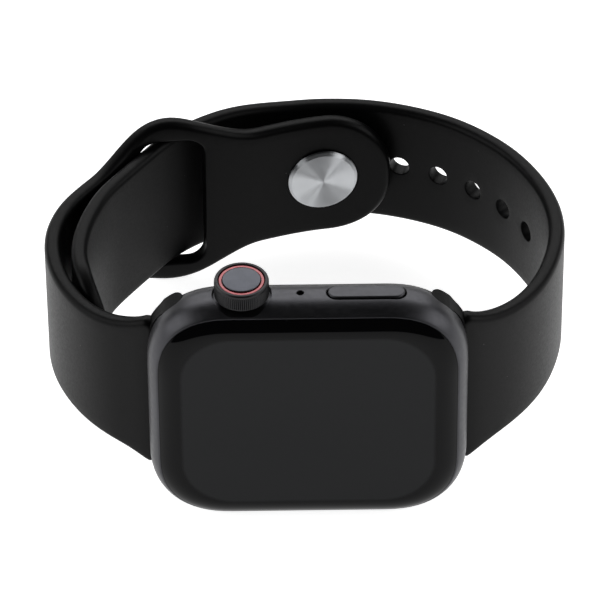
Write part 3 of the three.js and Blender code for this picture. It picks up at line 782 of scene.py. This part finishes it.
def release_button():
    """Stands along z with an eased rim and a shallow fingernail dish along its middle."""
    low, high = release_low.y, release_high.y
    rows = [(0.3, low), (0, low), (0, high), (0.3, high)]
    profile = rounded(rows, 0.14)
    profile += [(0.42, high - 0.02), (0.6, high - 0.05)]
    return stack(lambda inset: stadium(RELEASE_SIZE.z, RELEASE_SIZE.x, -inset), profile, upright)


piece("rear_cover", "back_cover", back_cover(), "back_ceramic")
piece("rear_crystal", "back_crystal", back_crystal(), "crystal", place=FACING_BACK)
for side, name in ((-1, "short"), (1, "long")):
    seat = shift(side * RELEASE_PLACE.x) @ LONG_ALONG_Z @ FACING_BACK
    piece(f"{name}_release_key", f"{name}_release_button", release_button(), "case_metal", place=seat)

# ---- Crown ---------------------------------------------------------------------------------------
RING_WIDTH = 0.4
COLLAR = {"radius": 1.55, "bore": 1.2, "drop": 0.42}  # hides the shaft under the knob
KNURLS = 84
KNURL_DEPTH = 0.13
CROWN_SEAT = shift(CROWN_PLACE.x, CONTROL_Y)


def crown_knob():
    low, high = crown_low.z, crown_high.z
    well = high - 0.7
    lip = ring_outer + 0.12
    outline = rounded([(COLLAR["radius"], low), (CROWN_RADIUS, low), (CROWN_RADIUS, high)], 0.4)[:-1]
    outline += rounded([(CROWN_RADIUS, low + 0.6), (CROWN_RADIUS, high), (lip, high)], 0.5, 8)[1:-1]
    outline += rounded([(CROWN_RADIUS - 0.4, high), (lip, high), (lip, well), (1, well)], 0.08)[1:]
    bore, foot = COLLAR["bore"], low - COLLAR["drop"]
    outline = [(ON_AXIS, low + 1.65), (bore, low + 1.65), (bore, foot), (COLLAR["radius"], foot), *outline]
    mesh = turned([*outline, (ON_AXIS, well)], KNURLS * 8)
    fade_low, fade_high = low + 0.35, high - 0.52
    for vertex in mesh.vertices:
        x, y, z = vertex.co
        radius = math.hypot(x, y)
        if radius > CROWN_RADIUS - 0.25 and fade_low - 0.1 < z < fade_high + 0.1:
            share = min(max(min(z - fade_low, fade_high - z) / 0.12 + 1, 0), 1)
            ridge = (0.5 - 0.5 * math.cos(math.atan2(y, x) * KNURLS)) ** 1.4
            trimmed = (radius - KNURL_DEPTH * share * ridge) / radius
            vertex.co = (x * trimmed, y * trimmed, z)
    return mesh


ring_outer = (ring_high.x - ring_low.x) / 2
ring_inner = ring_outer - RING_WIDTH
cap_radius = (cap_high.x - cap_low.x) / 2


def crown_ring():
    low, high = ring_low.z, ring_high.z
    loop = rounded([(ring_inner, (low + high) / 2), (ring_inner, low), (ring_outer, low), (ring_outer, high),
                    (ring_inner, high), (ring_inner, (low + high) / 2)], 0.07)
    return turned(loop[:-1], 128, loop=True)


def crown_cap():
    low, high = cap_low.z, cap_high.z
    angles = np.linspace(math.pi / 2, 0.05, 14)
    dome = [(cap_radius * math.sin(a), high - 0.1 + 0.1 * math.cos(a)) for a in angles]
    edge = rounded([(1, low), (cap_radius, low), dome[0], dome[2]], 0.09, 5)
    return turned([(ON_AXIS, low), *edge[:-1], *dome[3:], (ON_AXIS, high)], 128)


piece("crown_wheel", "crown_knob", crown_knob(), "crown_metal", CROWN_SEAT)
piece("crown_red_ring", "crown_ring", crown_ring(), "ring_red", place=CROWN_SEAT)
piece("crown_end_cap", "crown_cap", crown_cap(), "crown_cap", place=CROWN_SEAT)


def side_button():
    low, high = button_low.z, button_high.z
    profile = rounded([(0.6, low), (0, low), (0, high), (0.9, high)], 0.3, 6)
    return stack(lambda inset: stadium(BUTTON_SIZE.x, BUTTON_SIZE.y, -inset, 20), profile, upright)


piece("side_key", "side_button", side_button(), "case_metal", place=shift(BUTTON_PLACE.x, CONTROL_Y))


# ---- Straps --------------------------------------------------------------------------------------
class Route:
    """A strap's middle line, a smooth curve through chosen points, read by the distance from its bar."""

    PITCH = 0.25
    EASE = 1.2  # evens out the curve between its points

    def __init__(self, points, outward):
        line = self.through(np.array(points, float))
        travelled = np.concatenate([[0], np.cumsum(np.linalg.norm(np.diff(line, axis=0), axis=1))])
        self.length = travelled[-1]
        self.distances = np.arange(0, self.length, self.PITCH)
        even = np.stack([np.interp(self.distances, travelled, line[:, k]) for k in (0, 1)], axis=1)
        reach = int(4 * self.EASE / self.PITCH)
        weights = np.exp(-0.5 * (np.arange(-reach, reach + 1) * self.PITCH / self.EASE) ** 2)
        before = 2 * even[0] - even[reach:0:-1]
        after = 2 * even[-1] - even[-2:-reach - 2:-1]
        padded = np.concatenate([before, even, after])
        weights /= weights.sum()
        self.points = np.stack([np.convolve(padded[:, k], weights, "valid") for k in (0, 1)], axis=1)
        self.directions = np.gradient(self.points, axis=0)
        self.outward = outward

    @staticmethod
    def through(points, steps=40):
        """Close points on the centripetal Catmull-Rom curve through the given ones."""
        ends = [2 * points[0] - points[1], *points, 2 * points[-1] - points[-2]]
        line = []
        for a, b, c, d in zip(ends, ends[1:], ends[2:], ends[3:]):
            first, mid, last = [math.sqrt(np.linalg.norm(q - p)) for p, q in ((a, b), (b, c), (c, d))]
            leave = ((b - a) / first - (c - a) / (first + mid) + (c - b) / mid) * mid
            arrive = ((c - b) / mid - (d - b) / (mid + last) + (d - c) / last) * mid
            t = np.linspace(0, 1, steps, endpoint=False)[:, None]
            curve = 3 * (c - b) - 2 * leave - arrive
            line.append(b + leave * t + curve * t ** 2 + (2 * (b - c) + leave + arrive) * t ** 3)
        return np.concatenate([*line, points[-1:]])

    def at(self, distance):
        """Points on the line and directions out of it."""
        point, along = [
            np.stack([np.interp(distance, self.distances, table[:, k]) for k in (0, 1)], axis=-1)
            for table in (self.points, self.directions)]
        past = np.maximum(distance - self.distances[-1], 0)[..., None]
        along = along / np.linalg.norm(along, axis=-1, keepdims=True)
        out = np.stack([along[..., 1], -along[..., 0]], axis=-1) * self.outward
        return point + along * past, out

    def distance_at_x(self, x, low, high):
        """The distance, between two shares of the whole, whose point is nearest to x."""
        inside_range = (self.distances >= low * self.length) & (self.distances <= high * self.length)
        chosen = self.distances[inside_range]
        return float(chosen[np.argmin(abs(self.points[inside_range, 0] - x))])

    def seat(self, distance):
        """A frame on the strap in which z points outwards and y along the crown's axis."""
        point, out = self.at(np.array(float(distance)))
        outwards = Vector((*out, 0))
        up = Vector((0, 0, 1))
        matrix = Matrix((up.cross(outwards), up, outwards)).transposed().to_4x4()
        matrix.translation = (*point, 0)
        return matrix


short_route = Route(SHORT_ROUTE, -1)
long_route = Route(LONG_ROUTE, 1)


def smooth_share(value):
    value = min(max(value, 0), 1)
    return value * value * (3 - 2 * value)


def lug_flare(distance):
    return (LUG_HALF_WIDTH - BAND_HALF_WIDTH) * math.exp(-distance / 4.4)


bulge_distance = short_route.distance_at_x(BULGE["x"], 0.5, 0.8)
slot_distance = short_route.distance_at_x(SLOT["x"], 0.5, 0.8)
stud_distance = short_route.distance_at_x(STUD_X, 0.8, 1)
STUD_SEAT = short_route.seat(stud_distance)
beyond_stud = STUD_SEAT @ Vector((0, 0, STUD_GAP))
first_hole = long_route.distance_at_x(beyond_stud.x, 0.4, 0.75)


def short_half_width(distance):
    away = abs(distance - bulge_distance) / BULGE["reach"]
    bulge = (BULGE["half_width"] - BAND_HALF_WIDTH) * (1 - smooth_share(away))
    return BAND_HALF_WIDTH + lug_flare(distance) + bulge


def long_half_width(distance):
    spread = TAIL["spread"] * smooth_share((distance - TAIL["start"]) / (TAIL["full"] - TAIL["start"]))
    return BAND_HALF_WIDTH + spread + lug_flare(distance)


def evenly(loop, pitch):
    """A closed loop's points set out again at an even pitch."""
    loop = np.array(loop, float)
    closed = np.concatenate([loop, loop[:1]])
    travelled = np.concatenate([[0], np.cumsum(np.linalg.norm(np.diff(closed, axis=0), axis=1))])
    stops = np.linspace(0, travelled[-1], max(int(travelled[-1] / pitch), 12), endpoint=False)
    return np.stack([np.interp(stops, travelled, closed[:, k]) for k in (0, 1)], axis=1)


def strap_outline(length, half_width, tip):
    """The strap laid flat, as distance and height: eased corners at its bar and round at its tip."""
    ease, lug = LUG_EASE, half_width(LUG_EASE)
    quarter = np.linspace(0, math.pi / 2, 8)
    corner = [(ease - ease * math.cos(a), lug - ease + ease * math.sin(a)) for a in quarter]
    sides = corner + [(d, half_width(d)) for d in np.arange(ease + 0.5, length - tip, 0.5)]
    full = half_width(length - tip)
    fine = np.linspace(0, math.pi / 2, 40)
    end = [(length - tip + tip * math.sin(a), full - tip + tip * math.cos(a)) for a in fine]
    upper = sides + end
    return evenly(upper + [(d, -z) for d, z in upper[::-1]], 0.7)


def drawn_in(loop, amount):
    """A loop moved by an amount towards its own left, the inside of a loop that runs anticlockwise."""
    ahead = np.roll(loop, -1, axis=0) - np.roll(loop, 1, axis=0)
    ahead /= np.linalg.norm(ahead, axis=1, keepdims=True)
    return loop + np.stack([-ahead[:, 1], ahead[:, 0]], axis=1) * amount


def anticlockwise(loop):
    x, y = loop.T
    area = (x * np.roll(y, -1) - y * np.roll(x, -1)).sum()
    return loop if area > 0 else loop[::-1]


def inside(points, loop):
    """Which points lie inside a closed loop."""
    x, y = points[:, :1], points[:, 1:]
    (x0, y0), (x1, y1) = loop.T, np.roll(loop, -1, axis=0).T
    crossing = (y0 > y) != (y1 > y)
    level = np.where(y1 == y0, 1e-12, y1 - y0)
    return (crossing & (x < (x1 - x0) * (y - y0) / level + x0)).sum(1) % 2 == 1


def flat_face(outer, openings):
    """Triangles over the flat of a strap, inside its outer loop and outside its openings."""
    along, across = np.arange(outer[:, 0].min(), outer[:, 0].max(), 0.9), np.arange(-16, 16.1, 1.6)
    grid = np.stack(np.meshgrid(along, across), axis=-1).reshape(-1, 2)
    keep = inside(grid, drawn_in(outer, 0.45))
    for opening in openings:
        keep &= ~inside(grid, drawn_in(opening, -0.45))
    loops = [outer, *openings]
    points = [Vector(point) for loop in loops for point in loop] + [Vector(point) for point in grid[keep]]
    edges, start = [], 0
    for loop in loops:
        edges += [(start + i, start + (i + 1) % len(loop)) for i in range(len(loop))]
        start += len(loop)
    found, _, triangles, *_ = delaunay_2d_cdt(points, edges, [], 0, 1e-6)
    flat = np.array([tuple(point) for point in found])
    middles = flat[np.array(triangles)].mean(axis=1)
    keep = inside(middles, outer)
    for opening in openings:
        keep &= ~inside(middles, opening)
    return flat, np.array(triangles)[keep]


def strap(route, half_width, tip, openings):
    """A strap made flat, with rounded edges outside and in its openings, and bent along its route."""
    half = BAND_THICKNESS / 2
    outer = anticlockwise(strap_outline(route.length, half_width, tip))
    holes = [(anticlockwise(loop), edge) for loop, edge in openings]
    flat, triangles = flat_face(drawn_in(outer, BAND_EDGE), [drawn_in(loop, -edge) for loop, edge in holes])
    points, faces = [], []
    for level, order in ((half, 1), (-half, -1)):
        faces += [tuple(int(i) + len(points) for i in triangle[::order]) for triangle in triangles]
        points += [(d, z, level) for d, z in flat]
    bend = np.linspace(math.pi / 2, 0, 7)
    for loop, edge, sign in [(outer, BAND_EDGE, 1), *[(loop, edge, -1) for loop, edge in holes]]:
        wall = [(edge * (1 - math.cos(a)), half - edge + edge * math.sin(a)) for a in bend]
        wall += [(inset, -level) for inset, level in wall[::-1]]
        start, count = len(points), len(loop)
        for inset, level in wall:
            points += [(d, z, level) for d, z in drawn_in(loop, sign * inset)]
        for row in range(len(wall) - 1):
            for i in range(count):
                a, b = start + row * count + i, start + row * count + (i + 1) % count
                faces.append((a, b, b + count, a + count))
    points = np.array(points)
    line, out = route.at(points[:, 0])
    bent = np.column_stack([line + out * points[:, 2:], points[:, 1]])
    return mesh_from(bent, faces, 2e-3)


def band_bar(side):
    """The bar that slides into the case; its ends follow the case's outline."""
    outline = moved(plate(0.9, -3, 8), Matrix.Diagonal((1.06, 1, 1, 1)))
    return combine(bar(side, 0, BAR["neck_end"], 18), [outline], "INTERSECT")


def catch_recess(side):
    shape = stack(lambda inset: stadium(CATCH["length"], CATCH["width"], SLACK - inset),
                  [(0, CATCH["floor"]), (0, 6)], upright)
    return moved(shape, shift(side * CATCH["x"]) @ LONG_ALONG_Z @ FACING_BACK)


def stud_cut():
    """The tab's hole for the stud's post, and the shallow seat under its disc."""
    seat = STUD_RADIUS + 0.2
    shelf = 0.1 - BAND_THICKNESS / 2
    profile = [(ON_AXIS, -4), (seat, -4), (seat, shelf), (1.75, shelf), (1.75, 4), (ON_AXIS, 4)]
    return moved(turned(profile, 72), STUD_SEAT)


slot_loop = [(slot_distance + d, z) for d, z in rounded_box(SLOT["width"], SLOT["length"], SLOT["corner"])]
hole_angles = np.linspace(0, 2 * math.pi, 33)[:-1]
hole_middles = [first_hole - step * HOLE_PITCH for step in HOLE_STEPS]
hole_loops = [
    [(middle_at + HOLE_RADIUS * math.cos(a), HOLE_RADIUS * math.sin(a)) for a in hole_angles]
    for middle_at in hole_middles]

short_band = strap(short_route, short_half_width, SHORT_TIP, [(evenly(slot_loop, 0.6), SLOT["edge"])])
short_band = combine(short_band, [band_bar(-1)], "UNION")
short_band = combine(short_band, [catch_recess(-1), stud_cut()])
piece("short_band", "short_strap", short_band, "band", sharp=50)

long_band = strap(long_route, long_half_width, LONG_TIP, [(np.array(loop), HOLE_EDGE) for loop in hole_loops])
long_band = combine(long_band, [band_bar(1)], "UNION")
long_band = combine(long_band, [catch_recess(1)])
piece("long_band", "long_strap", long_band, "band", sharp=50)


# ---- Stud ----------------------------------------------------------------------------------------
def stud_disc():
    """The disc on the inside of the band, slightly domed, with a bright bevel round it and a boss behind."""
    face = -BAND_THICKNESS / 2 - 0.15
    flat = STUD_RADIUS - 0.4
    dome = [(r, face - 0.7 - 0.08 * (1 - (r / flat) ** 2)) for r in np.linspace(0.05, flat, 14)]
    edge = rounded([dome[-1], (STUD_RADIUS, face - 0.35), (STUD_RADIUS, face), (1.4, face), (1.4, face + 1.2),
                    (0.5, face + 1.2)], 0.08)
    return turned([(ON_AXIS, face - 0.78), *dome[:-1], *edge, (ON_AXIS, face + 1.2)], 128)


def stud_post():
    """The post through both straps, with a mushroom head outside."""
    start = 0.1 - BAND_THICKNESS / 2
    head = POST_HEAD["start"]
    radius = POST_HEAD["radius"]
    dome = [(radius * math.cos(a), head + 0.3 + 0.6 * math.sin(a)) for a in np.linspace(0.1, 1.5, 12)]
    edge = rounded([(0.6, start), (POST_RADIUS, start), (POST_RADIUS, head), (radius, head), dome[0]], 0.1)
    return turned([(ON_AXIS, start), *edge, *dome[1:], (ON_AXIS, head + 0.9)], 64)


piece("stud_disc", "stud_base", stud_disc(), "stud_steel", place=STUD_SEAT)
piece("stud_post", "stud_pin", stud_post(), "stud_steel", place=STUD_SEAT)

# ---- CAD nodes that keep their shapes ------------------------------------------------------------
slot_of = {part["node"]: part["material_slot"] for part in frame["record"]["subparts"]}
for name, node in frame["nodes"].items():
    finish = "mesh" if name.endswith("_mesh") else slot_of[name]
    node.data.materials.clear()
    node.data.materials.append(FINISHES[finish])

# ---- Stage, light and camera ---------------------------------------------------------------------
FLOOR_SIZE = 3.0
floor_mesh = bpy.data.meshes.new("floor")
half_floor = FLOOR_SIZE / 2
floor_mesh.from_pydata([(x * half_floor, y * half_floor, 0) for x, y in ((-1, -1), (1, -1), (1, 1), (-1, 1))],
                       [], [(0, 1, 2, 3)])
floor = bpy.data.objects.new("floor", floor_mesh)
scene.collection.objects.link(floor)
paper = Finish("pale_paper", (0.9, 0.9, 0.9), 0.8, Specular_IOR_Level=0.1, Emission_Strength=0.85)
paper.shader.inputs["Emission Color"].default_value = (1, 1, 1, 1)
floor_mesh.materials.append(paper.material)

world = bpy.data.worlds.new("studio")
world.use_nodes = True
world.node_tree.nodes["Background"].inputs["Color"].default_value = (1, 1, 1, 1)
world.node_tree.nodes["Background"].inputs["Strength"].default_value = 0.03
scene.world = world
scene.view_settings.view_transform = "Standard"


def softbox(name, place, width, height, radiance, aim=(0, 0, 0.02)):
    """A soft rectangular light, sized in metres, that faces a point."""
    light = bpy.data.lights.new(name, "AREA")
    light.shape = "RECTANGLE"
    light.size, light.size_y = width, height
    light.energy = radiance * math.pi * width * height
    made = bpy.data.objects.new(name, light)
    made.location = place
    made.rotation_euler = (Vector(place) - Vector(aim)).to_track_quat("Z", "Y").to_euler()
    scene.collection.objects.link(made)


SIDE_RADIANCE = 2.35
softbox("light_behind", (0, 0.75, 0.6), 1.4, 0.6, 3.0)
softbox("light_left", (-0.8, -0.1, 0.45), 0.9, 0.6, SIDE_RADIANCE)
softbox("light_right", (0.8, -0.1, 0.45), 0.9, 0.6, SIDE_RADIANCE)

VIEW = {"azimuth": -0.421, "elevation": 40.662, "roll": -0.435, "distance": 735.0, "lens": 304.76}
LOOK_AT = Vector((-0.129, 25.0, -4.395))
azimuth, elevation, roll = [math.radians(VIEW[key]) for key in ("azimuth", "elevation", "roll")]
towards = Vector((
    math.sin(azimuth) * math.cos(elevation), -math.cos(azimuth) * math.cos(elevation), math.sin(elevation)))
level_right = Vector((math.cos(azimuth), math.sin(azimuth), 0))
level_up = towards.cross(level_right)
right = level_right * math.cos(roll) + level_up * math.sin(roll)
above = level_up * math.cos(roll) - level_right * math.sin(roll)
aimed = Matrix((right, above, towards)).transposed().to_4x4()
aimed.translation = (LOOK_AT + towards * VIEW["distance"]) * MM
camera = bpy.data.objects.new("camera", bpy.data.cameras.new("camera"))
camera.data.sensor_width = 36
camera.data.lens = VIEW["lens"]
camera.data.clip_start, camera.data.clip_end = 0.05, 10
scene.collection.objects.link(camera)
camera.matrix_world = WATCH @ aimed
scene.camera = camera
